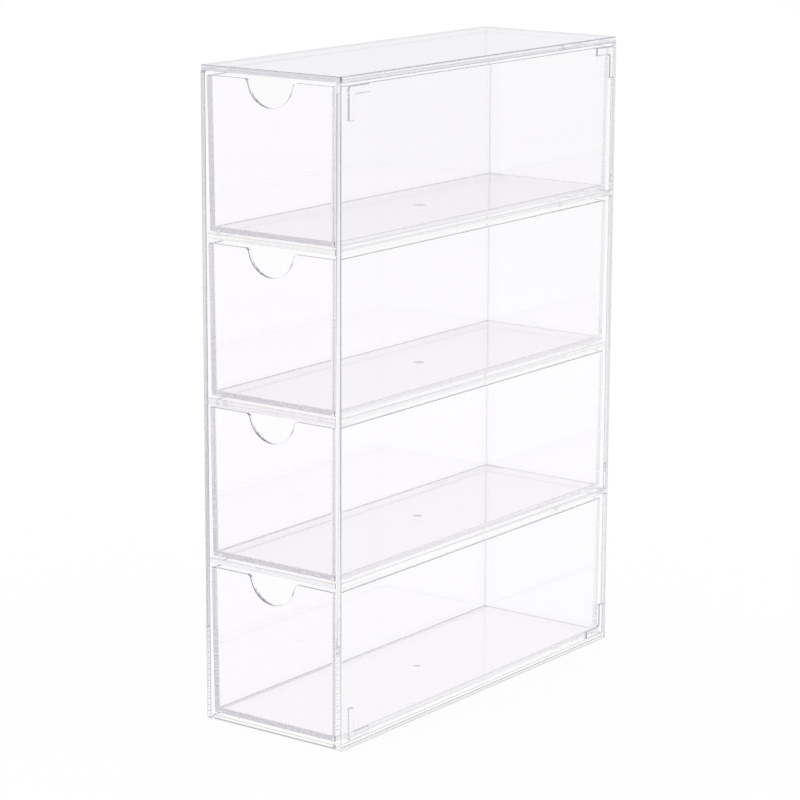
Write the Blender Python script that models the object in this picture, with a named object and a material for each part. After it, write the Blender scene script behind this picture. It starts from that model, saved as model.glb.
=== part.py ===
"""Sunglasses storage case: an upright case of clear plates with four pull-out drawers.

Metres, +Z up. The origin is the centre of the case's underside. The drawers open towards -Y, and +X is
the side with the raised corner ribs. Drawers are numbered from the top.
"""

import math

import bmesh
import bpy
from mathutils import Vector

# Outside of the case, over its side panels but not over the ribs
CASE_WIDTH = 0.0650
CASE_DEPTH = 0.1800
CASE_HEIGHT = 0.2500

# Plates of the case
SIDE_THICKNESS = 0.0024
TOP_THICKNESS = 0.0022
BOTTOM_THICKNESS = 0.0022
BACK_THICKNESS = 0.0024
SHELF_THICKNESS = 0.0020
GLUE_GAP = 0.0003
PLATE_ROUND = 0.0003
ROUND_SEGMENTS = 2

# Shelves from the lowest up: name, and whether two rear tabs hold it in the back panel
SHELVES = (("lower_shelf", True), ("middle_shelf", False), ("upper_shelf", True))
TAB_WIDTH = 0.0080

# Thicker front edge of the shelf that has no tabs
LIP_DEPTH = 0.0090
LIP_RAMP = 0.0012
LIP_CLEARANCE = 0.0005

# L-shaped ribs on the right panel's outer face
RIB_HEIGHT = 0.0010
RIB_WIDTH = 0.0033
RIB_ARM = 0.0127
RIB_INSET = 0.0034
RIB_CORNER = 0.0015

# Drawer, a moulded tray that widens a little towards its rim
DRAWER_WALL = 0.0017
DRAWER_FLOOR = 0.0016
DRAWER_DRAFT = 0.0005
DRAWER_CORNER = 0.0010
DRAWER_INNER_CORNER = 0.0014
DRAWER_EDGE_ROUND = 0.0008
FLOOR_FILLET = 0.0010
SMALLEST_CORNER_SHARE = 0.2
CORNER_STEPS = 5
FILLET_STEPS = 3

# How the drawer fits its compartment
SIDE_CLEARANCE = 0.0005
TOP_CLEARANCE = 0.0015
REAR_CLEARANCE = 0.0008
FRONT_INSET = 0.0003
RUNNING_GAP = 0.0003

# Skid pads under the drawer's floor, at both sides: one at the front, a row at the rear
PAD_HEIGHT = 0.0006
PAD_WIDTH = 0.0020
PAD_SIDE_INSET = 0.0010
PAD_FRONT_INSET = 0.0020
PAD_FRONT_LENGTH = 0.0040
PAD_REAR_COUNT = 3
PAD_REAR_LENGTH = 0.0086
PAD_REAR_SPACE = 0.0045
PAD_REAR_INSET = 0.0050

# Finger notch in the drawer's front wall
NOTCH_RADIUS = 0.0104
NOTCH_RISE = 0.0004
NOTCH_LIP_RADIUS = 0.0020
LIP_STEPS = 5
NOTCH_STEPS = 24

# How far a cutter or a joined piece runs past the surface that it meets
OVERRUN = 0.0010

# Clear moulded styrene: pale lavender grey, glossy
CLEAR_COLOUR = (0.86, 0.85, 0.90, 1.0)
CLEAR_ROUGHNESS = 0.06
CLEAR_METALLIC = 0.0
SMOOTH_ANGLE = math.radians(30)

# Places worked out from the sizes above
HALF_WIDTH = CASE_WIDTH / 2
HALF_DEPTH = CASE_DEPTH / 2
INNER_HALF_WIDTH = HALF_WIDTH - SIDE_THICKNESS
PLATE_HALF_WIDTH = INNER_HALF_WIDTH - GLUE_GAP
BACK_INNER_Y = HALF_DEPTH - BACK_THICKNESS
TOP_UNDERSIDE = CASE_HEIGHT - TOP_THICKNESS
SIDE_TOP = TOP_UNDERSIDE - GLUE_GAP
DRAWER_COUNT = len(SHELVES) + 1
COMPARTMENT_HEIGHT = (TOP_UNDERSIDE - BOTTOM_THICKNESS - len(SHELVES) * SHELF_THICKNESS) / DRAWER_COUNT
COMPARTMENT_PITCH = COMPARTMENT_HEIGHT + SHELF_THICKNESS
LIP_DROP = TOP_CLEARANCE - LIP_CLEARANCE

DRAWER_HALF_WIDTH = INNER_HALF_WIDTH - SIDE_CLEARANCE
DRAWER_FRONT_Y = FRONT_INSET - HALF_DEPTH
DRAWER_LENGTH = BACK_INNER_Y - REAR_CLEARANCE - DRAWER_FRONT_Y
DRAWER_HEIGHT = COMPARTMENT_HEIGHT - RUNNING_GAP - PAD_HEIGHT - TOP_CLEARANCE


def compartment_floor(level):
    """Height of the surface that a drawer stands over; level 0 is the lowest compartment."""
    return BOTTOM_THICKNESS + level * COMPARTMENT_PITCH


def clear_plastic(name):
    """The piece's own material: clear, pale and glossy."""
    material = bpy.data.materials.new(name + "_plastic")
    material.use_nodes = True
    shader = material.node_tree.nodes["Principled BSDF"]
    shader.inputs["Base Color"].default_value = CLEAR_COLOUR
    shader.inputs["Roughness"].default_value = CLEAR_ROUGHNESS
    shader.inputs["Metallic"].default_value = CLEAR_METALLIC
    return material


def add_object(name, mesh, location, parent=None):
    """Puts a mesh into the scene under the piece's name."""
    piece = bpy.data.objects.new(name, mesh)
    bpy.context.collection.objects.link(piece)
    piece.location = location
    piece.parent = parent
    return piece


def finish_piece(piece):
    """Gives a piece its material and smooth shading over its rounded edges."""
    piece.data.materials.clear()
    piece.data.materials.append(clear_plastic(piece.name))
    piece.data.shade_smooth()
    piece.data.set_sharp_from_angle(angle=SMOOTH_ANGLE)


def mesh_from(bm, name):
    """Turns a finished bmesh into a mesh whose faces point out."""
    bmesh.ops.recalc_face_normals(bm, faces=bm.faces)
    mesh = bpy.data.meshes.new(name)
    bm.to_mesh(mesh)
    bm.free()
    return mesh


def block_mesh(name, size):
    """A box of the given size about its own centre."""
    bm = bmesh.new()
    bmesh.ops.create_cube(bm, size=1)
    bmesh.ops.scale(bm, vec=size, verts=bm.verts)
    return mesh_from(bm, name)


def extruded_mesh(name, outline, along):
    """A flat outline of 3-D points, extruded by the vector along."""
    bm = bmesh.new()
    start = [bm.verts.new(point) for point in outline]
    face = bm.faces.new(start)
    extruded = bmesh.ops.extrude_face_region(bm, geom=[face], use_keep_orig=True)
    end = [item for item in extruded["geom"] if isinstance(item, bmesh.types.BMVert)]
    bmesh.ops.translate(bm, vec=along, verts=end)
    return mesh_from(bm, name)


def round_edges(piece):
    """Takes the sharpness off a plate's edges."""
    bevel = piece.modifiers.new("edge_round", "BEVEL")
    bevel.width = PLATE_ROUND
    bevel.segments = ROUND_SEGMENTS
    bevel.limit_method = "ANGLE"
    bevel.angle_limit = SMOOTH_ANGLE


def plate(name, low, high, parent):
    """A flat plate between two corners of the case, placed by its own centre."""
    low = Vector(low)
    high = Vector(high)
    piece = add_object(name, block_mesh(name, high - low), (low + high) / 2, parent)
    round_edges(piece)
    finish_piece(piece)
    return piece


def boolean(piece, other, operation):
    """Adds or cuts another solid, which is hidden and only guides the shape."""
    other.hide_render = True
    other.display_type = "WIRE"
    modifier = piece.modifiers.new(other.name, "BOOLEAN")
    modifier.object = other
    modifier.operation = operation
    modifier.solver = "EXACT"


def baked_mesh(piece, guides):
    """The piece's mesh with its modifiers applied; the piece and its guides leave the scene."""
    bpy.context.view_layer.update()
    graph = bpy.context.evaluated_depsgraph_get()
    mesh = bpy.data.meshes.new_from_object(piece.evaluated_get(graph))
    for item in [piece] + guides:
        bpy.data.objects.remove(item)
    return mesh


def build_back_panel(case):
    """Plate between the side panels, notched at both upright edges where shelf tabs pass through."""
    notch_depth = TAB_WIDTH + GLUE_GAP
    steps = []
    for level, (name, has_tabs) in enumerate(SHELVES, start=1):
        if has_tabs:
            shelf_top = compartment_floor(level)
            steps.append((shelf_top - SHELF_THICKNESS - GLUE_GAP, shelf_top + GLUE_GAP))
    right_edge = [(PLATE_HALF_WIDTH, BOTTOM_THICKNESS + GLUE_GAP)]
    for notch_low, notch_high in steps:
        right_edge.append((PLATE_HALF_WIDTH, notch_low))
        right_edge.append((PLATE_HALF_WIDTH - notch_depth, notch_low))
        right_edge.append((PLATE_HALF_WIDTH - notch_depth, notch_high))
        right_edge.append((PLATE_HALF_WIDTH, notch_high))
    right_edge.append((PLATE_HALF_WIDTH, SIDE_TOP))
    left_edge = [(-x, z) for x, z in reversed(right_edge)]
    outline = [Vector((x, BACK_INNER_Y, z)) for x, z in right_edge + left_edge]
    mesh = extruded_mesh("back_panel", outline, Vector((0, BACK_THICKNESS, 0)))
    panel = add_object("back_panel", mesh, (0, 0, 0), case)
    round_edges(panel)
    finish_piece(panel)


def build_tabbed_shelf(name, top, case):
    """Shelf whose two rear corners carry tabs that pass through the back panel, flush outside."""
    rear = BACK_INNER_Y - GLUE_GAP
    tab_inner = PLATE_HALF_WIDTH - TAB_WIDTH
    right_edge = [
        (PLATE_HALF_WIDTH, -HALF_DEPTH),
        (PLATE_HALF_WIDTH, HALF_DEPTH),
        (tab_inner, HALF_DEPTH),
        (tab_inner, rear),
    ]
    left_edge = [(-x, y) for x, y in reversed(right_edge)]
    outline = [Vector((x, y, -SHELF_THICKNESS)) for x, y in right_edge + left_edge]
    mesh = extruded_mesh(name, outline, Vector((0, 0, SHELF_THICKNESS)))
    shelf = add_object(name, mesh, (0, 0, top), case)
    round_edges(shelf)
    finish_piece(shelf)


def build_lipped_shelf(name, top, case):
    """Plain shelf with a thicker front edge that ramps back into its underside."""
    rear = BACK_INNER_Y - GLUE_GAP
    lip_rear = LIP_DEPTH - HALF_DEPTH
    profile = [
        (-HALF_DEPTH, 0),
        (-HALF_DEPTH, -SHELF_THICKNESS - LIP_DROP),
        (lip_rear, -SHELF_THICKNESS - LIP_DROP),
        (lip_rear + LIP_RAMP, -SHELF_THICKNESS),
        (rear, -SHELF_THICKNESS),
        (rear, 0),
    ]
    outline = [Vector((-PLATE_HALF_WIDTH, y, z)) for y, z in profile]
    mesh = extruded_mesh(name, outline, Vector((2 * PLATE_HALF_WIDTH, 0, 0)))
    shelf = add_object(name, mesh, (0, 0, top), case)
    round_edges(shelf)
    finish_piece(shelf)


def rib_outline(toward_rear, toward_top):
    """One L-shaped rib, seen from the side: its outer corner is rounded and points at the panel's corner."""
    points = []
    for step in range(CORNER_STEPS + 1):
        angle = math.pi + math.pi / 2 * step / CORNER_STEPS
        points.append((RIB_CORNER + RIB_CORNER * math.cos(angle), RIB_CORNER + RIB_CORNER * math.sin(angle)))
    points += [(RIB_ARM, 0), (RIB_ARM, RIB_WIDTH), (RIB_WIDTH, RIB_WIDTH), (RIB_WIDTH, RIB_ARM), (0, RIB_ARM)]
    outline = []
    for inward_y, inward_z in points:
        y = toward_rear * (HALF_DEPTH - RIB_INSET - inward_y)
        z = CASE_HEIGHT / 2 + toward_top * (CASE_HEIGHT / 2 - RIB_INSET - inward_z)
        outline.append(Vector((HALF_WIDTH - OVERRUN, y, z)))
    return outline


def build_side_panels(case):
    """The plain left panel, and the right panel with its four corner ribs."""
    plate("left_side_panel", (-HALF_WIDTH, -HALF_DEPTH, 0), (-INNER_HALF_WIDTH, HALF_DEPTH, SIDE_TOP), case)
    right = plate(
        "right_side_panel", (INNER_HALF_WIDTH, -HALF_DEPTH, 0), (HALF_WIDTH, HALF_DEPTH, SIDE_TOP), case
    )
    for toward_rear in (-1, 1):
        for toward_top in (-1, 1):
            outline = rib_outline(toward_rear, toward_top)
            mesh = extruded_mesh("rib", outline, Vector((OVERRUN + RIB_HEIGHT, 0, 0)))
            boolean(right, add_object("rib", mesh, (0, 0, 0), case), "UNION")


def tray_ring(inset, corner, z):
    """Rounded rectangle of the tray at height z above its underside, inset from the drafted outer wall."""
    lean = DRAWER_DRAFT * (1 - z / DRAWER_HEIGHT) + inset
    half_x = DRAWER_HALF_WIDTH - lean
    front = lean
    rear = DRAWER_LENGTH - lean
    centres = (
        (half_x - corner, front + corner),
        (half_x - corner, rear - corner),
        (corner - half_x, rear - corner),
        (corner - half_x, front + corner),
    )
    ring = []
    for turn, (centre_x, centre_y) in enumerate(centres):
        for step in range(CORNER_STEPS + 1):
            angle = math.pi / 2 * (turn - 1 + step / CORNER_STEPS)
            x = centre_x + corner * math.cos(angle)
            y = centre_y + corner * math.sin(angle)
            ring.append(Vector((x, y, z + PAD_HEIGHT)))
    return ring


def tray_rings():
    """The tray's rings in order: up the outside from the underside, over the rim, down to the floor."""
    rings = []
    for step in range(FILLET_STEPS + 1):
        angle = math.pi / 2 * step / FILLET_STEPS
        inset = DRAWER_EDGE_ROUND * (1 - math.sin(angle))
        corner = max(DRAWER_CORNER - inset, DRAWER_CORNER * SMALLEST_CORNER_SHARE)
        rings.append(tray_ring(inset, corner, DRAWER_EDGE_ROUND * (1 - math.cos(angle))))
    rings.append(tray_ring(0, DRAWER_CORNER, DRAWER_HEIGHT))
    rings.append(tray_ring(DRAWER_WALL, DRAWER_INNER_CORNER, DRAWER_HEIGHT))
    for step in range(FILLET_STEPS + 1):
        angle = math.pi / 2 * step / FILLET_STEPS
        inset = FLOOR_FILLET * (1 - math.cos(angle))
        corner = max(DRAWER_INNER_CORNER - inset, DRAWER_INNER_CORNER * SMALLEST_CORNER_SHARE)
        height = DRAWER_FLOOR + FLOOR_FILLET * (1 - math.sin(angle))
        rings.append(tray_ring(DRAWER_WALL + inset, corner, height))
    return rings


def tray_mesh():
    """The tray before its notch and pads: rings joined by strips, closed by the floor's two faces."""
    bm = bmesh.new()
    rings = [[bm.verts.new(point) for point in ring] for ring in tray_rings()]
    for lower, upper in zip(rings, rings[1:]):
        for index in range(len(lower)):
            bm.faces.new((lower[index - 1], lower[index], upper[index], upper[index - 1]))
    bm.faces.new(rings[0])
    bm.faces.new(rings[-1])
    return mesh_from(bm, "tray")


def notch_outline(y):
    """Finger notch: a wide arc that two small lip arcs lead into from the rim."""
    rim = PAD_HEIGHT + DRAWER_HEIGHT
    lip_x = math.sqrt((NOTCH_RADIUS + NOTCH_LIP_RADIUS) ** 2 - (NOTCH_RISE + NOTCH_LIP_RADIUS) ** 2)
    meeting = math.atan2(NOTCH_RISE + NOTCH_LIP_RADIUS, lip_x)
    outline = [Vector((-lip_x, y, rim + OVERRUN))]
    for step in range(LIP_STEPS + 1):
        angle = math.pi / 2 + (meeting - math.pi / 2) * step / LIP_STEPS
        x = -lip_x + NOTCH_LIP_RADIUS * math.cos(angle)
        z = rim - NOTCH_LIP_RADIUS + NOTCH_LIP_RADIUS * math.sin(angle)
        outline.append(Vector((x, y, z)))
    for step in range(1, NOTCH_STEPS):
        angle = math.pi + meeting + (math.pi - 2 * meeting) * step / NOTCH_STEPS
        x = NOTCH_RADIUS * math.cos(angle)
        z = rim + NOTCH_RISE + NOTCH_RADIUS * math.sin(angle)
        outline.append(Vector((x, y, z)))
    for step in range(LIP_STEPS + 1):
        angle = math.pi - meeting + (meeting - math.pi / 2) * step / LIP_STEPS
        x = lip_x + NOTCH_LIP_RADIUS * math.cos(angle)
        z = rim - NOTCH_LIP_RADIUS + NOTCH_LIP_RADIUS * math.sin(angle)
        outline.append(Vector((x, y, z)))
    outline.append(Vector((lip_x, y, rim + OVERRUN)))
    return outline


def pad_places():
    """Start and length along the drawer of each skid pad at one side."""
    places = [(PAD_FRONT_INSET, PAD_FRONT_LENGTH)]
    for index in range(PAD_REAR_COUNT):
        end = DRAWER_LENGTH - PAD_REAR_INSET - index * (PAD_REAR_LENGTH + PAD_REAR_SPACE)
        places.append((end - PAD_REAR_LENGTH, PAD_REAR_LENGTH))
    return places


def drawer_mesh():
    """One drawer's mesh: the tray with its finger notch cut and its skid pads joined on."""
    tray = add_object("tray", tray_mesh(), (0, 0, 0))
    reach = DRAWER_WALL + DRAWER_DRAFT + 2 * OVERRUN
    notch = extruded_mesh("notch", notch_outline(-OVERRUN), Vector((0, reach, 0)))
    guides = [add_object("notch", notch, (0, 0, 0))]
    boolean(tray, guides[0], "DIFFERENCE")
    joined_height = PAD_HEIGHT + DRAWER_FLOOR / 2
    pad_x = DRAWER_HALF_WIDTH - DRAWER_DRAFT - PAD_SIDE_INSET - PAD_WIDTH / 2
    for side in (-1, 1):
        for start, length in pad_places():
            pad = block_mesh("pad", Vector((PAD_WIDTH, length, joined_height)))
            place = (side * pad_x, start + length / 2, joined_height / 2)
            guides.append(add_object("pad", pad, place))
            boolean(tray, guides[-1], "UNION")
    return baked_mesh(tray, guides)


def build_case():
    """Every fixed plate of the case, under one empty at its origin."""
    case = add_object("case", None, (0, 0, 0))
    plate("top_panel", (-HALF_WIDTH, -HALF_DEPTH, TOP_UNDERSIDE), (HALF_WIDTH, HALF_DEPTH, CASE_HEIGHT), case)
    plate(
        "bottom_panel",
        (-PLATE_HALF_WIDTH, -HALF_DEPTH, 0),
        (PLATE_HALF_WIDTH, HALF_DEPTH, BOTTOM_THICKNESS),
        case,
    )
    build_side_panels(case)
    build_back_panel(case)
    for level, (name, has_tabs) in enumerate(SHELVES, start=1):
        build_shelf = build_tabbed_shelf if has_tabs else build_lipped_shelf
        build_shelf(name, compartment_floor(level), case)
    return case


def build_drawers(case):
    """Four like drawers; each origin lies on the surface that its drawer slides along."""
    mesh = drawer_mesh()
    for number in range(1, DRAWER_COUNT + 1):
        level = DRAWER_COUNT - number
        place = (0, DRAWER_FRONT_Y, compartment_floor(level) + RUNNING_GAP)
        finish_piece(add_object(f"drawer_{number}", mesh.copy(), place, case))


for item in list(bpy.data.objects):
    bpy.data.objects.remove(item)
build_drawers(build_case())
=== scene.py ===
"""A clear upright case with four pull-out drawers for sunglasses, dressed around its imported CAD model."""

import math

import bpy
import numpy as np
from mathutils import Matrix, Vector
from mathutils.geometry import delaunay_2d_cdt


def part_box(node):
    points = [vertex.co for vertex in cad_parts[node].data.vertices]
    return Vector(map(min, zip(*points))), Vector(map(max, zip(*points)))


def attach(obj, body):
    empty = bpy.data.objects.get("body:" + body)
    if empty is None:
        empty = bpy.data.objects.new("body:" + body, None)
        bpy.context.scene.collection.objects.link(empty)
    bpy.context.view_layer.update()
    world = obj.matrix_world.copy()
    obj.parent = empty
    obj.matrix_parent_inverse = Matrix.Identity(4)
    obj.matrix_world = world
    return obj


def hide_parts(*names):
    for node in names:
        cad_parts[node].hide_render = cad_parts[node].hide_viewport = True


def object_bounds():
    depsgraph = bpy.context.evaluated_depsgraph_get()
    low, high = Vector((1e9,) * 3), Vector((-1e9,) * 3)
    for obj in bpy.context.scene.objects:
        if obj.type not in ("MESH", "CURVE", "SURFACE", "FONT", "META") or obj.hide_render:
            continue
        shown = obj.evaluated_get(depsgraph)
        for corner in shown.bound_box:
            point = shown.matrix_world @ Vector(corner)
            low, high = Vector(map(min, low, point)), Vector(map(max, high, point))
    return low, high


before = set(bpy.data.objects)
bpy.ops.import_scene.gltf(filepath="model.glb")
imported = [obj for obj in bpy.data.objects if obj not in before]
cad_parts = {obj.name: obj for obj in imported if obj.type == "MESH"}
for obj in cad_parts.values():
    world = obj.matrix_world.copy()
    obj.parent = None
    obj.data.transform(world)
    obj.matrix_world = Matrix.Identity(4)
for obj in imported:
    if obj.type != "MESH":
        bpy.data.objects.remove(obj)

cad_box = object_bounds()

# Side panels
# The two tall walls of the case, injection moulded in clear polystyrene and bonded to the other plates.
# The right one carries four L-shaped ribs near its corners. The mould rounds the outer edges most, the
# feet and the right one's front less, and leaves the edges at the joints nearly sharp.

OUTER_ROUNDING = 0.0009
RIGHT_FRONT_ROUNDING = 0.0005
FOOT_ROUNDING = 0.0004
JOINT_ROUNDING = 0.0002

# A corner is wider than the roundings beside it, so that the rings round it never cross.
SIDE_CORNER = 0.0011
ARC_STEPS = 4
BOND_LINE = 0.00005
WELD_GRID = 1e-7
INSIDE_WITH_HOLES = 2

RIB_HEIGHT = 0.0010
RIB_WIDTH = 0.0033
RIB_ARM = 0.0127
RIB_INSET = 0.0034
RIB_ROUNDING = 0.0005
RIB_OUTER_CORNER = 0.0015
RIB_SMALL_CORNER = 0.0006

PLASTIC_IOR = 1.59
CLEAR = "#FFFFFF"
TONER_COLOUR = "#E8E7EB"
LEFT_TONER = 5.5
RIGHT_TONER = 1.2
# Painted shade: grey laid on the rounded edges in place of the dark lines refraction draws there; the right
# panel's is darker.
EDGE_PAINTED_SHADE = "#C0BFCA"
RIGHT_EDGE_PAINTED_SHADE = "#A9A8B6"
EDGE_ROUGHNESS = 0.1
EDGE_START = 0.97
# On the right and top panels the front edges keep only this share of the painted edge shade, so they look
# lighter.
FRONT_PAINTED_SHADE_SHARE = 0.1
FRONT_EDGE_DEPTH = 0.003
FLOW_WIDTH = 0.025
FLOW_DETAIL = 1.0
FLOW_DEPTH = 0.000005


def linear(hex_colour):
    """An sRGB hex colour as linear RGBA, by the power curve of sRGB without its straight foot."""
    value = hex_colour.lstrip("#")
    channels = [int(value[start:start + 2], 16) / 255 for start in (0, 2, 4)]
    return tuple(((channel + 0.055) / 1.055) ** 2.4 for channel in channels) + (1.0,)


def add_node(tree, kind, settings, links):
    """Adds a node: settings are its attributes or input values, and links are sockets for its inputs."""
    node = tree.nodes.new(kind)
    for name, value in settings.items():
        if isinstance(name, int) or name in node.inputs:
            node.inputs[name].default_value = value
        else:
            setattr(node, name, value)
    for name, socket in links.items():
        tree.links.new(socket, node.inputs[name])
    return node


def clear_polystyrene(
    plate, toner_density, painted_edge_shade, colour=CLEAR, edge_roughness=EDGE_ROUGHNESS, front_shade_share=1.0
):
    """Clear general-purpose polystyrene, injection moulded: glossy and all but colourless. Its trace of
    violet toner shows only where light runs a long way inside a plate, so faces look empty and ends pale
    grey. A mould polishes its rounded edges less than its faces, so edges are duller. Painted shade greys
    them in place of the dark lines that refraction draws there, and the front edge keeps only a share of
    that painted shade. An edge is where the surface leans away from all three axes. The flow of the melt
    leaves the faces barely wavy."""
    material = bpy.data.materials.new("moulded_clear_polystyrene_" + plate)
    material.use_nodes = True
    tree = material.node_tree
    tree.nodes.clear()
    place = add_node(tree, "ShaderNodeTexCoord", {}, {})
    flow = add_node(
        tree,
        "ShaderNodeTexNoise",
        {"Scale": 1 / FLOW_WIDTH, "Detail": FLOW_DETAIL},
        {"Vector": place.outputs["Object"]},
    )
    waviness = add_node(tree, "ShaderNodeBump", {"Distance": FLOW_DEPTH}, {"Height": flow.outputs["Fac"]})
    facing = add_node(tree, "ShaderNodeVectorMath", {"operation": "ABSOLUTE"}, {0: place.outputs["Normal"]})
    axes = add_node(tree, "ShaderNodeSeparateXYZ", {}, {0: facing.outputs["Vector"]})
    larger = add_node(
        tree, "ShaderNodeMath", {"operation": "MAXIMUM"}, {0: axes.outputs["X"], 1: axes.outputs["Y"]}
    )
    flatness = add_node(
        tree, "ShaderNodeMath", {"operation": "MAXIMUM"}, {0: larger.outputs[0], 1: axes.outputs["Z"]}
    )
    edge = add_node(
        tree,
        "ShaderNodeMapRange",
        {"From Min": EDGE_START, "From Max": 1.0, "To Min": 1.0, "To Max": 0.0},
        {"Value": flatness.outputs[0]},
    )
    finish = add_node(
        tree, "ShaderNodeMath", {"operation": "MULTIPLY", 1: edge_roughness}, {0: edge.outputs["Result"]}
    )
    # Near the case's front the painted edge shade fades to the front share.
    position = add_node(tree, "ShaderNodeSeparateXYZ", {}, {0: place.outputs["Object"]})
    fade_start = cad_box[0].y + FRONT_EDGE_DEPTH
    fade_end = fade_start + FRONT_EDGE_DEPTH
    front = add_node(
        tree,
        "ShaderNodeMapRange",
        {"From Min": fade_start, "From Max": fade_end, "To Min": front_shade_share, "To Max": 1.0},
        {"Value": position.outputs["Y"]},
    )
    grey = add_node(
        tree,
        "ShaderNodeMath",
        {"operation": "MULTIPLY"},
        {0: edge.outputs["Result"], 1: front.outputs["Result"]},
    )
    # Mixes the plate's own colour with the painted edge shade.
    colour_and_edge_shade = add_node(
        tree,
        "ShaderNodeMix",
        {"data_type": "RGBA", 6: linear(colour), 7: linear(painted_edge_shade)},
        {0: grey.outputs[0]},
    )
    shader = add_node(
        tree,
        "ShaderNodeBsdfPrincipled",
        {"IOR": PLASTIC_IOR, "Transmission Weight": 1.0},
        {
            "Base Color": colour_and_edge_shade.outputs[2],
            "Normal": waviness.outputs["Normal"],
            "Roughness": finish.outputs[0],
        },
    )
    toner = add_node(
        tree, "ShaderNodeVolumeAbsorption", {"Color": linear(TONER_COLOUR), "Density": toner_density}, {}
    )
    sockets = {"Surface": shader.outputs["BSDF"], "Volume": toner.outputs["Volume"]}
    add_node(tree, "ShaderNodeOutputMaterial", {}, sockets)
    return material


def rounded_outline(corners, radii):
    """A closed outline, anticlockwise, whose corners are arcs, with its outward normals.

    An arc's centre lies back along the incoming side by r tan(turn / 2) and across it by r. The normal
    turns evenly from one side's to the next. In a hollow corner r counts as negative across the side."""
    corners = np.array(corners, float)
    radii = np.broadcast_to(np.array(radii, float), len(corners))
    incoming = corners - np.roll(corners, 1, axis=0)
    incoming /= np.linalg.norm(incoming, axis=1, keepdims=True)
    outgoing = np.roll(incoming, -1, axis=0)
    cross = incoming[:, 0] * outgoing[:, 1] - incoming[:, 1] * outgoing[:, 0]
    turn = np.arctan2(cross, (incoming * outgoing).sum(axis=1))
    normal = np.stack([incoming[:, 1], -incoming[:, 0]], axis=1)
    signed = np.sign(turn) * radii
    centre = corners - incoming * (radii * np.tan(abs(turn) / 2))[:, None] - normal * signed[:, None]
    start = np.arctan2(normal[:, 1], normal[:, 0])
    angle = start[:, None] + turn[:, None] * np.linspace(0, 1, ARC_STEPS + 1)
    normals = np.stack([np.cos(angle), np.sin(angle)], axis=-1)
    points = centre[:, None] + normals * signed[:, None, None]
    return points.reshape(-1, 2), normals.reshape(-1, 2)


def edge_profile(height, low_radius, high_radius):
    """Inset, height and lean, ring by ring, of an upright edge whose low and high ends are quarter circles:
    at lean a, the inset is r (1 - cos a), and the height is r (1 - sin a) from that end. Each radius is
    one number, or one for each point of the outline. A low radius of 0 has one ring."""
    low = np.linspace(-math.pi / 2, 0, ARC_STEPS + 1) if np.any(low_radius) else np.zeros(1)
    high = np.linspace(0, math.pi / 2, ARC_STEPS + 1)
    lean = np.concatenate([low, high])[:, None]
    is_low = np.arange(len(lean))[:, None] < len(low)
    radius = np.where(is_low, low_radius, high_radius)
    from_end = radius * (1 - abs(np.sin(lean)))
    return radius * (1 - np.cos(lean)), np.where(is_low, from_end, height - from_end), lean


def strip(points, normals):
    """The shape whose rings of points are joined by quads: points, normals, faces."""
    rings, count = points.shape[:2]
    ring, column = np.meshgrid(np.arange(rings - 1), np.arange(count), indexing="ij")
    following = (column + 1) % count
    corners = [ring * count + column, ring * count + following]
    corners += [(ring + 1) * count + following, (ring + 1) * count + column]
    faces = np.stack(corners, axis=-1).reshape(-1, 4).tolist()
    return points.reshape(-1, 3), normals.reshape(-1, 3), faces


def raised(flat, height):
    """Flat points or directions with a third coordinate."""
    return np.concatenate([flat, np.broadcast_to(height, flat.shape[:-1] + (1,))], axis=-1)


def carried(outline, normals, profile):
    """A strip: the outline moves in along its normals by each ring's inset and up by its height, and the
    surface normal leans up from the outline's by the ring's angle."""
    inset, height, lean = (values[:, :, None] for values in profile)
    return strip(raised(outline - normals * inset, height), raised(normals * np.cos(lean), np.sin(lean)))


def cap(rings, up):
    """A flat face inside the first ring and outside the others, as Delaunay triangles that face up or down.
    These have no slivers where many points lie in a row, which would spoil the normals beside them."""
    points = np.concatenate(rings)
    numbers = np.split(np.arange(len(points)), np.cumsum([len(ring) for ring in rings])[:-1])
    outlines = [ring.tolist() for ring in numbers]
    flat = [Vector(point) for point in points[:, :2]]
    _, _, faces, sources, _, _ = delaunay_2d_cdt(flat, [], outlines, INSIDE_WITH_HOLES, WELD_GRID)
    triangles = np.array([[sources[corner][0] for corner in face] for face in faces])
    a, b, c = np.moveaxis(points[triangles], 1, 0)
    wrong = np.cross(b - a, c - a)[:, 2] * up < 0
    triangles[wrong] = triangles[wrong][:, ::-1]
    return points, np.tile([0.0, 0.0, up], (len(points), 1)), triangles.tolist()


def joined(shapes):
    """Several shapes as one, their faces renumbered."""
    points, normals, faces = zip(*shapes)
    start = np.cumsum([0] + [len(own) for own in points])
    renumbered = [[corner + first for corner in face] for own, first in zip(faces, start) for face in own]
    return np.concatenate(points), np.concatenate(normals), renumbered


def ends(shape, count):
    """The first and the last ring of a strip with count points in each ring."""
    return shape[0][:count], shape[0][-count:]


def slab(outline, normals, thickness, roundings, islands=()):
    """A plate from z = 0 up to its thickness, its low and high edges rounded, with raised islands on its
    upper face. An island is a shape that stands on its first ring, which is left out of that face."""
    edge = carried(outline, normals, edge_profile(thickness, *roundings))
    low, high = ends(edge, len(outline))
    faces = [cap([low], -1), cap([high] + [ring for _, ring in islands], 1)]
    return joined([edge] + faces + [shape for shape, _ in islands])


def island(corners, radii, base, height, rounding):
    """A raised shape on a face at the base height, its upper edge rounded, and the ring it stands on."""
    outline, normals = rounded_outline(corners, radii)
    inset, level, lean = edge_profile(height, 0, rounding)
    edge = carried(outline, normals, (inset, level + base, lean))
    low, high = ends(edge, len(outline))
    return joined([edge, cap([high], 1)]), low


def turned(shape, axes, origin=(0, 0, 0)):
    """Lays a shape's three axes along the named world axes, each X, Y or Z or its opposite, and moves it."""
    units = {"X": (1, 0, 0), "Y": (0, 1, 0), "Z": (0, 0, 1), "-Y": (0, -1, 0), "-Z": (0, 0, -1)}
    turn = np.array([units[axis] for axis in axes], float)
    points, normals, faces = shape
    return points @ turn + np.array(origin, float), normals @ turn, faces


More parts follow.
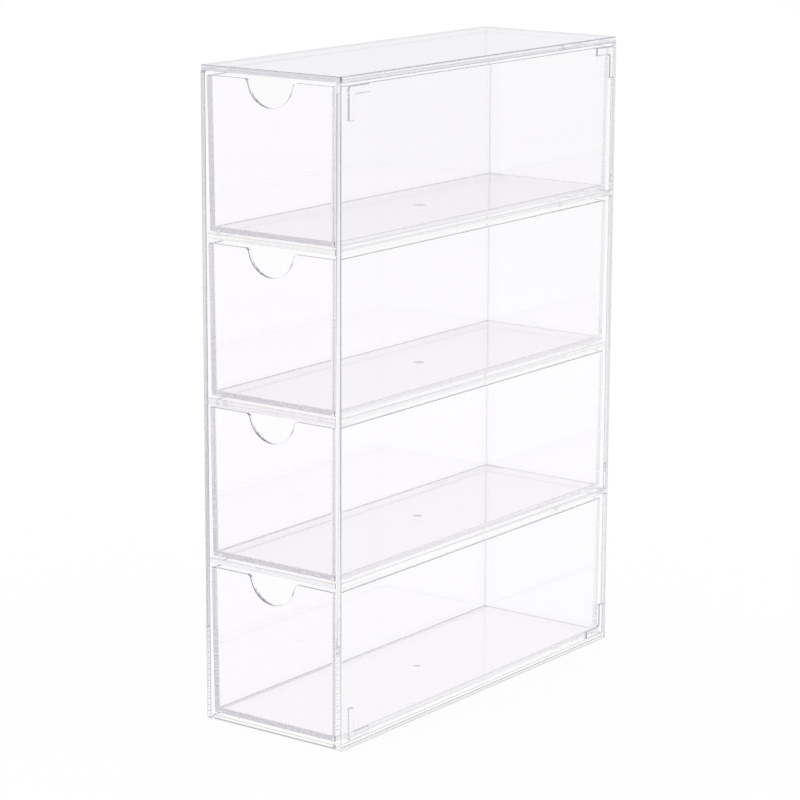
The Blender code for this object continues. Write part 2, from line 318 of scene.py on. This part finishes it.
def add_piece(name, shape, material, body, node):
    """Makes a closed mesh: points that coincide are welded, and each face keeps its own normals there.
    The piece rides on its body in place of its CAD node."""
    points, normals, faces = shape
    grid = np.round(points / WELD_GRID)
    _, first, welded = np.unique(grid, axis=0, return_index=True, return_inverse=True)
    corners = np.concatenate([np.array(face) for face in faces])
    lengths = np.array([len(face) for face in faces])
    welded_faces = np.split(welded.reshape(-1)[corners], np.cumsum(lengths)[:-1])
    mesh = bpy.data.meshes.new(name)
    mesh.from_pydata(points[first].tolist(), [], welded_faces)
    mesh.materials.append(material)
    mesh.shade_smooth()
    mesh.normals_split_custom_set(normals[corners].tolist())
    piece = bpy.data.objects.new(name, mesh)
    bpy.context.scene.collection.objects.link(piece)
    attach(piece, body)
    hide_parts(node)


def rectangle(low_a, low_b, high_a, high_b):
    """A rectangle's corners, anticlockwise from its lowest."""
    return [(low_a, low_b), (high_a, low_b), (high_a, high_b), (low_a, high_b)]


def add_plate(node, plastic, corners, radii, axes, start, thickness, roundings, islands=()):
    """A plate of the case. Its outline lies across the first two of its axes, and its thickness runs along
    the third, from start."""
    outline, normals = rounded_outline(corners, radii)
    origin = np.array([start if axis == axes[2] else 0 for axis in "XYZ"], float)
    shape = turned(slab(outline, normals, thickness, roundings, islands), axes, origin)
    add_piece(node + "_moulding", shape, plastic, "case", node)


def rib(toward_rear, toward_top, low, high, base):
    """An L-shaped rib on a side panel. Its outer corner, widely rounded, points at the panel's corner."""
    level_arm = [(0, 0), (RIB_ARM, 0), (RIB_ARM, RIB_WIDTH), (RIB_WIDTH, RIB_WIDTH)]
    upright_arm = [(RIB_WIDTH, RIB_ARM), (0, RIB_ARM)]
    corners = np.array(level_arm + upright_arm) + RIB_INSET
    radii = np.array([RIB_OUTER_CORNER] + [RIB_SMALL_CORNER] * (len(corners) - 1))
    if toward_rear:
        corners[:, 0] = high[0] - corners[:, 0]
    else:
        corners[:, 0] += low[0]
    if toward_top:
        corners[:, 1] = high[1] - corners[:, 1]
    else:
        corners[:, 1] += low[1]
    if toward_rear != toward_top:
        corners, radii = corners[::-1], radii[::-1]
    return island(corners, radii, base, RIB_HEIGHT, RIB_ROUNDING)


left_plastic = clear_polystyrene("left", LEFT_TONER, EDGE_PAINTED_SHADE)
right_plastic = clear_polystyrene("right", RIGHT_TONER, RIGHT_EDGE_PAINTED_SHADE, front_shade_share=FRONT_PAINTED_SHADE_SHARE)
left_low, left_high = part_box("left_side_panel")
right_low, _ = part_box("right_side_panel")
top_low, top_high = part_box("top_panel")
side_thickness = left_high.x - left_low.x
side_top = top_low.z - BOND_LINE
side_outline = rectangle(left_low.y, left_low.z, left_high.y, side_top)

# The outer rounding at each point of the outline, by how far the point faces the top, the foot or the front.
rearward, upward = rounded_outline(side_outline, SIDE_CORNER)[1].T
left_rounding = OUTER_ROUNDING + (JOINT_ROUNDING - OUTER_ROUNDING) * np.clip(upward, 0, 1)
left_rounding += (FOOT_ROUNDING - OUTER_ROUNDING) * np.clip(-upward, 0, 1)
right_rounding = left_rounding + (RIGHT_FRONT_ROUNDING - OUTER_ROUNDING) * np.clip(-rearward, 0, 1)

case_low = (left_low.y, left_low.z)
case_high = (left_high.y, top_high.z)
ribs = []
for toward_rear in (False, True):
    for toward_top in (False, True):
        ribs.append(rib(toward_rear, toward_top, case_low, case_high, side_thickness))
add_plate(
    "left_side_panel", left_plastic, side_outline, SIDE_CORNER, "YZX", left_low.x, side_thickness,
    (left_rounding, JOINT_ROUNDING),
)
add_plate(
    "right_side_panel", right_plastic, side_outline, SIDE_CORNER, "YZX", right_low.x, side_thickness,
    (JOINT_ROUNDING, right_rounding), ribs,
)

# Top, bottom and back panels
# Flat clear plates bonded to the side panels: the top lies over both sides, the bottom and the back fit
# between them. The back is notched at its two upright edges for the tabs of two shelves.

TOP_COLOUR = "#FDFEFF"
TOP_TONER = 4.8
# Painted shade on the top plate's rounded edges, light grey, with only a share of it on the front edge.
TOP_EDGE_PAINTED_SHADE = "#E6E5EC"
TOP_ROUNDING = 0.0006
TOP_CORNER = 0.0013

PANEL_TONER = 4.5
# Painted shade: the bottom plate's rounded edges are painted darkest, in place of the line of shade where
# the case stands on the floor.
BOTTOM_EDGE_PAINTED_SHADE = "#8F8E9A"
BOTTOM_ROUNDING = 0.0014
BOTTOM_CORNER = 0.0016
JOINT_CORNER = 0.0003
TAB_WIDTH = 0.0080

top_plastic = clear_polystyrene(
    "top", TOP_TONER, TOP_EDGE_PAINTED_SHADE, colour=TOP_COLOUR, front_shade_share=FRONT_PAINTED_SHADE_SHARE
)
bottom_plastic = clear_polystyrene("bottom", PANEL_TONER, BOTTOM_EDGE_PAINTED_SHADE)
back_plastic = clear_polystyrene("back", PANEL_TONER, EDGE_PAINTED_SHADE)
inner_half_width = right_low.x - BOND_LINE
bottom_low, bottom_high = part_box("bottom_panel")
back_low, back_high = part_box("back_panel")

top_outline = rectangle(top_low.x, top_low.y, top_high.x, top_high.y)
top_thickness = top_high.z - top_low.z
add_plate(
    "top_panel", top_plastic, top_outline, TOP_CORNER, "XYZ", top_low.z, top_thickness,
    (JOINT_ROUNDING, TOP_ROUNDING),
)

bottom_outline = rectangle(-inner_half_width, bottom_low.y, inner_half_width, bottom_high.y)
bottom_thickness = bottom_high.z - bottom_low.z
add_plate(
    "bottom_panel", bottom_plastic, bottom_outline, BOTTOM_CORNER, "XYZ", bottom_low.z, bottom_thickness,
    (BOTTOM_ROUNDING, JOINT_ROUNDING),
)

tab_inner = inner_half_width - TAB_WIDTH
notch_steps = []
for shelf in ("lower_shelf", "upper_shelf"):
    shelf_low, shelf_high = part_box(shelf)
    notch_low = shelf_low.z - BOND_LINE
    notch_high = shelf_high.z + BOND_LINE
    notch_steps += [(notch_low, inner_half_width), (notch_low, tab_inner - BOND_LINE)]
    notch_steps += [(notch_high, tab_inner - BOND_LINE), (notch_high, inner_half_width)]
back_bottom = bottom_high.z + BOND_LINE
right_edge = [(side_top, inner_half_width)] + notch_steps[::-1] + [(back_bottom, inner_half_width)]
back_outline = [(z, -x) for z, x in right_edge[::-1]] + right_edge
back_thickness = back_high.y - back_low.y
joint_roundings = (JOINT_ROUNDING, JOINT_ROUNDING)
add_plate(
    "back_panel", back_plastic, back_outline, JOINT_CORNER, "ZXY", back_low.y, back_thickness,
    joint_roundings,
)

# Shelves
# Clear plates bonded between the side panels, one under each of the three upper drawers. The upper and
# lower ones reach the outside of the back with a tab at each rear corner. The middle one has a thick lip.

LIP_DEPTH = 0.0090
LIP_DROP = 0.0010
LIP_RAMP = 0.0012
SHELF_TONER = 0.5
# A barely grey painted shade on the shelves' rounded edges.
SHELF_EDGE_PAINTED_SHADE = "#FDFDFE"
SHELF_EDGE_ROUGHNESS = 0.02

shelf_plastic = clear_polystyrene(
    "shelves", SHELF_TONER, SHELF_EDGE_PAINTED_SHADE, edge_roughness=SHELF_EDGE_ROUGHNESS
)
shelf_rear = back_low.y - BOND_LINE
for shelf in ("lower_shelf", "upper_shelf"):
    shelf_low, shelf_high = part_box(shelf)
    right_half = [(inner_half_width, shelf_low.y), (inner_half_width, shelf_high.y)]
    right_half += [(tab_inner, shelf_high.y), (tab_inner, shelf_rear)]
    outline = right_half + [(-x, y) for x, y in right_half[::-1]]
    thickness = shelf_high.z - shelf_low.z
    add_plate(shelf, shelf_plastic, outline, JOINT_CORNER, "XYZ", shelf_low.z, thickness, joint_roundings)

shelf_low, shelf_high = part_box("middle_shelf")
plain_low = shelf_low.z + LIP_DROP
lip_rear = shelf_low.y + LIP_DEPTH
lipped = [(shelf_low.y, shelf_low.z), (lip_rear, shelf_low.z), (lip_rear + LIP_RAMP, plain_low)]
lipped += [(shelf_rear, plain_low), (shelf_rear, shelf_high.z), (shelf_low.y, shelf_high.z)]
add_plate(
    "middle_shelf", shelf_plastic, lipped, JOINT_CORNER, "YZX", -inner_half_width, 2 * inner_half_width,
    joint_roundings,
)

# Drawers
# Four like trays, each moulded in one piece with thin drafted walls and a finger notch in the front one.
# They run on low skid pads under the floor. A small dimple in the floor is where the plastic was let in.

DRAWER_COLOUR = "#FFFEFF"
DRAWER_TONER = 8.0
# A faint painted shade on the drawers' rounded edges.
DRAWER_EDGE_PAINTED_SHADE = "#FAFAFC"
DRAWER_WALL = 0.0017
DRAWER_FLOOR = 0.0016
DRAWER_DRAFT = 0.0005
OUTER_CORNER = 0.00045
INNER_CORNER = 0.0006
UNDER_ROUNDING = 0.00012
RIM_ROUNDING = 0.0004
FLOOR_FILLET = 0.0005
CORNER_STEPS = 6

NOTCH_RADIUS = 0.0104
NOTCH_RISE = 0.0004
NOTCH_LIP = 0.0020
NOTCH_STEPS = 40
NOTCH_LIP_STEPS = 8

PAD_HEIGHT = 0.0006
PAD_WIDTH = 0.0020
PAD_SIDE_INSET = 0.0010
PAD_ROUNDING = 0.0002
PAD_CORNER = 0.0004
PAD_FRONT_SPAN = (0.0020, 0.0060)
PAD_REAR_COUNT = 3
PAD_REAR_LENGTH = 0.0086
PAD_REAR_PITCH = 0.0131
PAD_REAR_INSET = 0.0050

GATE_RADIUS = 0.003
GATE_DEPTH = 0.00015
GATE_STEPS = 8
GATE_SIDES = 32

DRAWER_COUNT = 4


def arc(start, stop, steps):
    """Cosines and sines of evenly spaced angles, as rows."""
    angle = np.linspace(start, stop, steps + 1)
    return np.stack([np.cos(angle), np.sin(angle)], axis=1)


def rim_stations():
    """Stations around the drawer's rim, anticlockwise from the left end of the front wall.

    For each: the wall's outward normal, the corner's signs, the place along the front wall (not a number
    elsewhere), the drop below the rim and the rim edge's own normal. The finger notch is a wide arc
    centred a little over the rim, which a small lip arc leads into at each side; they meet where the line
    between their centres, r + lip long, crosses both."""
    reach = NOTCH_RADIUS + NOTCH_LIP
    lip_x = math.sqrt(reach**2 - (NOTCH_RISE + NOTCH_LIP) ** 2)
    meeting = math.asin((NOTCH_RISE + NOTCH_LIP) / reach)
    lip = arc(math.pi / 2, meeting, NOTCH_LIP_STEPS)
    left_lip = lip * NOTCH_LIP + (-lip_x, -NOTCH_LIP)
    bowl = arc(math.pi + meeting, 2 * math.pi - meeting, NOTCH_STEPS)[1:-1]
    to_right = np.array([-1.0, 1.0])
    front = np.concatenate([left_lip, bowl * NOTCH_RADIUS + (0, NOTCH_RISE), (left_lip * to_right)[::-1]])
    front_edge = np.concatenate([lip, -bowl, (lip * to_right)[::-1]])
    corner_starts = np.array([-1, 0, 1, 2]) * math.pi / 2
    walls = np.concatenate([arc(start, start + math.pi / 2, CORNER_STEPS) for start in corner_starts])
    signs = np.repeat([(1.0, -1.0), (1.0, 1.0), (-1.0, 1.0), (-1.0, -1.0)], CORNER_STEPS + 1, axis=0)
    plain = len(walls)
    wall = np.concatenate([np.tile([0.0, -1.0], (len(front), 1)), walls])
    sign = np.concatenate([np.tile([0.0, -1.0], (len(front), 1)), signs])
    along = np.concatenate([front[:, 0], np.full(plain, np.nan)])
    drop = np.concatenate([-front[:, 1], np.zeros(plain)])
    edges = np.concatenate([front_edge, np.tile([0.0, 1.0], (plain, 1))])
    return wall, sign, along, drop, np.stack([edges[:, 0], np.zeros(len(edges)), edges[:, 1]], axis=1)


def tray_ring(stations, size, inset, corner, from_rim, height):
    """One ring of the tray: a rounded rectangle, inset from the drafted outer wall.

    Its corner arcs have their centres at the half size less the inset and the corner radius. A ring by
    the rim is measured from it, back along the rim edge's normal. Any other has a plain height."""
    wall, sign, along, drop, edge = stations
    half_x, half_y, rim = size
    back = RIM_ROUNDING if from_rim is None else from_rim
    level = np.full(len(along), height) if from_rim is None else rim - drop - edge[:, 2] * back
    lean = DRAWER_DRAFT * (1 - level / rim)
    x = sign[:, 0] * (half_x - lean - inset - corner) + wall[:, 0] * corner
    y = sign[:, 1] * (half_y - lean - inset - corner) + wall[:, 1] * corner
    return np.stack([np.where(np.isnan(along), x, along - edge[:, 0] * back), y, level], axis=1)


def tray_walls(stations, size):
    """The tray's walls as one strip of rings: round the underside's edge, up the outside, over the rounded
    rim, down the inside and round the fillet to the floor. Each ring's normal is a mix, by the cosine and
    sine of its angle, of the drafted wall's normal, outward or inward, and the rim edge's or the upright.
    A row holds a ring's inset, corner, distance from the rim, height, two normals and angle."""
    wall, _, _, _, edge = stations
    outward = np.concatenate([wall, np.full((len(wall), 1), -DRAWER_DRAFT / size[2])], axis=1)
    upright = np.tile([0.0, 0.0, 1.0], (len(wall), 1))
    quarter = np.linspace(0, math.pi / 2, ARC_STEPS + 1)
    rows = []
    for angle in quarter[::-1]:
        curl = UNDER_ROUNDING * (1 - math.cos(angle))
        height = UNDER_ROUNDING * (1 - math.sin(angle))
        rows.append((curl, OUTER_CORNER - curl, None, height, outward, upright, -angle))
    for angle in quarter:
        curl = RIM_ROUNDING * (1 - math.cos(angle))
        from_rim = RIM_ROUNDING * (1 - math.sin(angle))
        rows.append((curl, OUTER_CORNER - curl, from_rim, None, outward, edge, angle))
    for angle in quarter[::-1]:
        curl = RIM_ROUNDING * (1 - math.cos(angle))
        from_rim = RIM_ROUNDING * (1 - math.sin(angle))
        rows.append((DRAWER_WALL - curl, INNER_CORNER + curl, from_rim, None, -outward, edge, angle))
    for angle in quarter:
        curl = FLOOR_FILLET * (1 - math.cos(angle))
        height = DRAWER_FLOOR + FLOOR_FILLET * (1 - math.sin(angle))
        rows.append((DRAWER_WALL + curl, INNER_CORNER - curl, None, height, -outward, upright, angle))
    points = np.stack([tray_ring(stations, size, *row[:4]) for row in rows])
    normals = np.stack([side * math.cos(angle) + top * math.sin(angle) for *_, side, top, angle in rows])
    return strip(points, normals / np.linalg.norm(normals, axis=2, keepdims=True))


def skid_pads(half_x, half_y):
    """The pads under the floor, upside down: one at the front and a row at the rear, at both sides."""
    spans = [PAD_FRONT_SPAN]
    for index in range(PAD_REAR_COUNT):
        end = 2 * half_y - PAD_REAR_INSET - index * PAD_REAR_PITCH
        spans.append((end - PAD_REAR_LENGTH, end))
    outer = half_x - DRAWER_DRAFT - PAD_SIDE_INSET
    pads = []
    for low_x, high_x in ((-outer, PAD_WIDTH - outer), (outer - PAD_WIDTH, outer)):
        for start, end in spans:
            corners = rectangle(low_x, half_y - end, high_x, half_y - start)
            pads.append(island(corners, PAD_CORNER, 0, PAD_HEIGHT, PAD_ROUNDING))
    return pads


def gate_dimple():
    """The gate's mark, a round dimple d deep and r in radius, and the ring at its brim. At share s of the
    way in, it is d (1 - cos(pi s)) / 2 deep and slopes by d pi sin(pi s) / (2 r)."""
    share = np.linspace(0, 1, GATE_STEPS + 1)[:-1, None, None]
    depth = GATE_DEPTH * (1 - np.cos(math.pi * share)) / 2
    tilt = np.arctan(GATE_DEPTH * math.pi / 2 * np.sin(math.pi * share) / GATE_RADIUS)
    circle = arc(0, 2 * math.pi, GATE_SIDES)[:-1]
    points = raised(circle * GATE_RADIUS * (1 - share), -depth)
    normals = raised(-circle * np.sin(tilt), np.cos(tilt))
    return joined([strip(points, normals), cap([points[-1]], 1)]), points[0]


def drawer(low, high):
    """A whole drawer, its pads' lower faces and its rim at the low and high ends of its node's box."""
    half_x = (high.x - low.x) / 2
    half_y = (high.y - low.y) / 2
    stations = rim_stations()
    walls = tray_walls(stations, (half_x, half_y, high.z - low.z - PAD_HEIGHT))
    underside, floor = ends(walls, len(stations[0]))
    dimple, brim = gate_dimple()
    on_floor = (0, 0, DRAWER_FLOOR)
    inside = cap([floor, brim + on_floor], 1)
    pads = [
        (turned(shape, ("X", "-Y", "-Z")), ring * (1, -1, -1)) for shape, ring in skid_pads(half_x, half_y)
    ]
    below = cap([underside] + [ring for _, ring in pads], -1)
    whole = joined([walls, inside, turned(dimple, "XYZ", on_floor), below] + [shape for shape, _ in pads])
    return turned(whole, "XYZ", (0, (low.y + high.y) / 2, low.z + PAD_HEIGHT))


drawer_plastic = clear_polystyrene("drawer", DRAWER_TONER, DRAWER_EDGE_PAINTED_SHADE, colour=DRAWER_COLOUR)
for number in range(1, DRAWER_COUNT + 1):
    node = f"drawer_{number}"
    shape = drawer(*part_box(node))
    add_piece(f"{node}_moulding", shape, drawer_plastic, f"{node}_body", node)

# Studio
# A wide white matt floor in a light tent, whose white walls turn into a pale grey ceiling a little above
# the horizon. The floor glows alike for the camera and in the plastic, and less far out to the right,
# where the right side panel mirrors it. It also scatters light, so it takes the case's faint shadow.

FLOOR_HALF_SIZE = 12.0
FLOOR_SCATTER_SHARE = 0.06
FLOOR_GLOW = 0.95
DIM_SHARE = 0.86
DIM_WAY = (0.8, 0.6, 0.0)
DIM_START = 0.5
DIM_END = 1.5
CEILING_START = math.radians(6)
WALL_COLOUR = "#FFFFFF"
CEILING_COLOUR = "#F2F0F3"

floor_outline = rectangle(-FLOOR_HALF_SIZE, -FLOOR_HALF_SIZE, FLOOR_HALF_SIZE, FLOOR_HALF_SIZE)
floor_mesh = bpy.data.meshes.new("studio_floor")
floor_mesh.from_pydata([(x, y, 0) for x, y in floor_outline], [], [range(len(floor_outline))])
floor = bpy.data.objects.new("studio_floor", floor_mesh)
bpy.context.scene.collection.objects.link(floor)

floor_paint = bpy.data.materials.new("studio_white_floor")
floor_paint.use_nodes = True
paint = floor_paint.node_tree
paint.nodes.clear()
ray = add_node(paint, "ShaderNodeLightPath", {}, {})
via_plastic = add_node(
    paint,
    "ShaderNodeMath",
    {"operation": "MAXIMUM"},
    {0: ray.outputs["Is Glossy Ray"], 1: ray.outputs["Is Transmission Ray"]},
)
seen = add_node(
    paint,
    "ShaderNodeMath",
    {"operation": "MAXIMUM"},
    {0: ray.outputs["Is Camera Ray"], 1: via_plastic.outputs[0]},
)
floor_place = add_node(paint, "ShaderNodeTexCoord", {}, {})
aside = add_node(
    paint,
    "ShaderNodeVectorMath",
    {"operation": "DOT_PRODUCT", 1: DIM_WAY},
    {0: floor_place.outputs["Object"]},
)
brightness = add_node(
    paint,
    "ShaderNodeMapRange",
    {"From Min": DIM_START, "From Max": DIM_END, "To Min": FLOOR_GLOW, "To Max": FLOOR_GLOW * DIM_SHARE},
    {"Value": aside.outputs["Value"]},
)
glow = add_node(
    paint, "ShaderNodeMath", {"operation": "MULTIPLY"}, {0: seen.outputs[0], 1: brightness.outputs[0]}
)
matt = add_node(paint, "ShaderNodeBsdfDiffuse", {"Color": (FLOOR_SCATTER_SHARE,) * 3 + (1,)}, {})
light = add_node(paint, "ShaderNodeEmission", {}, {"Strength": glow.outputs[0]})
both = add_node(paint, "ShaderNodeAddShader", {}, {0: matt.outputs[0], 1: light.outputs[0]})
add_node(paint, "ShaderNodeOutputMaterial", {}, {"Surface": both.outputs[0]})
floor_mesh.materials.append(floor_paint)

world = bpy.data.worlds.new("light_tent")
bpy.context.scene.world = world
world.use_nodes = True
tent = world.node_tree
tent.nodes.clear()
direction = add_node(tent, "ShaderNodeTexCoord", {}, {})
climb = add_node(tent, "ShaderNodeSeparateXYZ", {}, {"Vector": direction.outputs["Generated"]})
ceiling = add_node(
    tent, "ShaderNodeMapRange", {"From Max": math.sin(CEILING_START)}, {"Value": climb.outputs["Z"]}
)
cloth = add_node(
    tent,
    "ShaderNodeMix",
    {"data_type": "RGBA", 6: linear(WALL_COLOUR), 7: linear(CEILING_COLOUR)},
    {0: ceiling.outputs["Result"]},
)
surround = add_node(tent, "ShaderNodeBackground", {}, {"Color": cloth.outputs[2]})
add_node(tent, "ShaderNodeOutputWorld", {}, {"Surface": surround.outputs[0]})

# Camera
# It stands more than a metre away at the front right, a little above the top of the case, and looks
# slightly down through a long lens.

CAMERA_AZIMUTH = math.radians(36.59)
CAMERA_ELEVATION = math.radians(12.74)
CAMERA_ROLL = math.radians(0.25)
CAMERA_DISTANCE = 1.1780
CAMERA_AIM = Vector((-0.0050, -0.0037, 0.1130))
CAMERA_LENS = 135.5

sight = Vector(
    (
        -math.sin(CAMERA_AZIMUTH) * math.cos(CAMERA_ELEVATION),
        math.cos(CAMERA_AZIMUTH) * math.cos(CAMERA_ELEVATION),
        -math.sin(CAMERA_ELEVATION),
    )
)
upright_view = sight.to_track_quat("-Z", "Y").to_matrix()
camera = bpy.data.objects.new("camera", bpy.data.cameras.new("camera"))
bpy.context.scene.collection.objects.link(camera)
camera.matrix_world = (
    Matrix.Translation(CAMERA_AIM - sight * CAMERA_DISTANCE)
    @ (upright_view @ Matrix.Rotation(CAMERA_ROLL, 3, "Z")).to_4x4()
)
camera.data.sensor_fit = "HORIZONTAL"
camera.data.lens = CAMERA_LENS
bpy.context.scene.camera = camera

# Rendering
# Light runs a long way inside the plates and is turned back many times, so many bounces are followed.

BOUNCES = 128

cycles = bpy.context.scene.cycles
cycles.max_bounces = BOUNCES
cycles.glossy_bounces = BOUNCES
cycles.transmission_bounces = BOUNCES
bpy.context.scene.view_settings.view_transform = "Standard"
